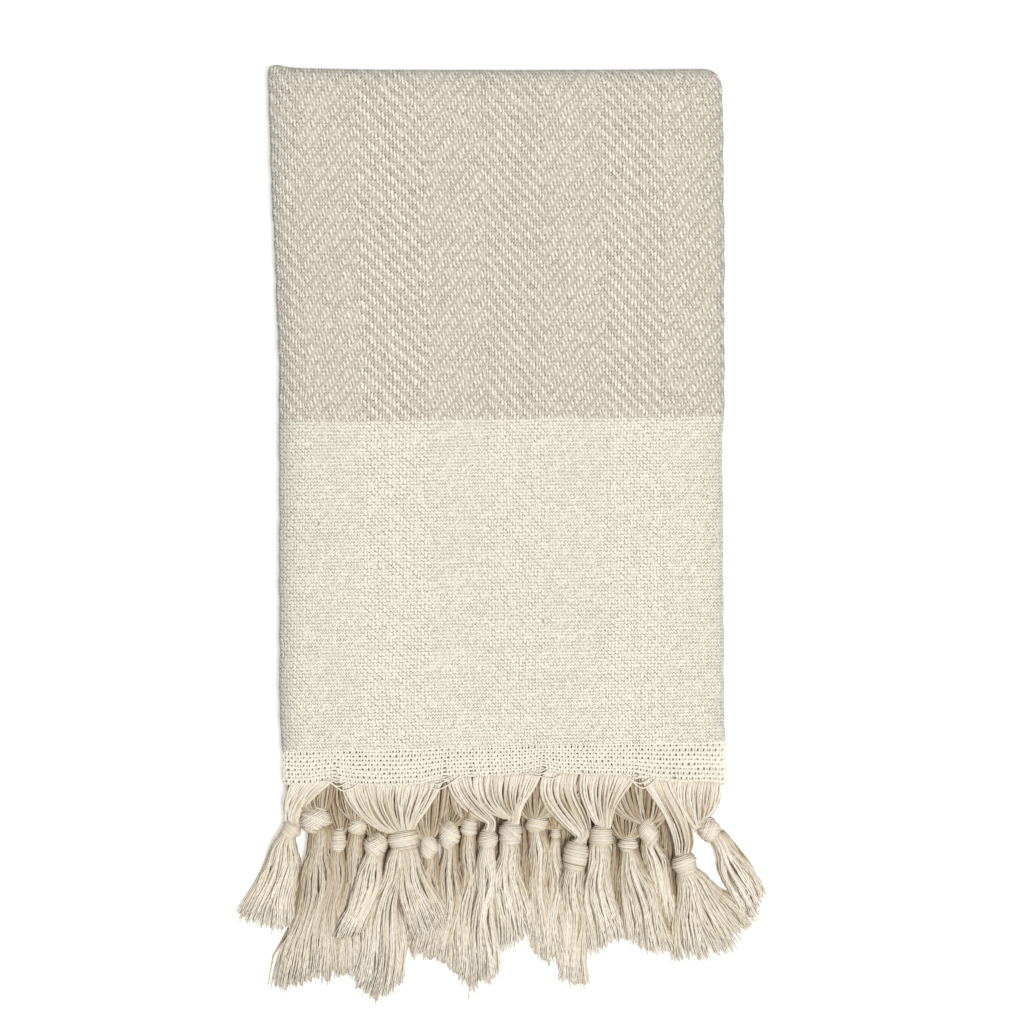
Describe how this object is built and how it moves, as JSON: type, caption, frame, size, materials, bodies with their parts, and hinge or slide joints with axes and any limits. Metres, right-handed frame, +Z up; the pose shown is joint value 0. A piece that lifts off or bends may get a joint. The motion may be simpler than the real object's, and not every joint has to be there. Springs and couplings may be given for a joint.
{
  "type": "hammam towel",
  "caption": "Cotton hammam towel, folded and lying face up, with a herringbone weave, a paler end, an open-weave band and a knotted fringe with tassels.",
  "frame": {"origin": "on the surface that the towel lies on, below the middle of the whole thing", "axes": "+X across the folded towel, +Y up to its top fold, away from the fringe, +Z up through its layers"},
  "size_m": [0.2896, 0.5138, 0.011],
  "materials": {
    "towel_cloth": "undyed handloom cotton in a coarse herringbone, matte",
    "fringe_cotton": "undyed loose cotton yarn, matte"
  },
  "bodies": {
    "root": {"cloth": "towel_cloth", "tassel_01": "fringe_cotton", "tassel_02": "fringe_cotton", "tassel_03": "fringe_cotton", "tassel_04": "fringe_cotton", "tassel_05": "fringe_cotton", "tassel_06": "fringe_cotton", "tassel_07": "fringe_cotton", "tassel_08": "fringe_cotton", "tassel_09": "fringe_cotton", "tassel_10": "fringe_cotton", "tassel_11": "fringe_cotton", "tassel_12": "fringe_cotton", "tassel_13": "fringe_cotton", "tassel_14": "fringe_cotton", "tassel_15": "fringe_cotton", "tassel_16": "fringe_cotton", "tassel_17": "fringe_cotton", "tassel_18": "fringe_cotton", "tassel_19": "fringe_cotton"}
  },
  "joints": []
}
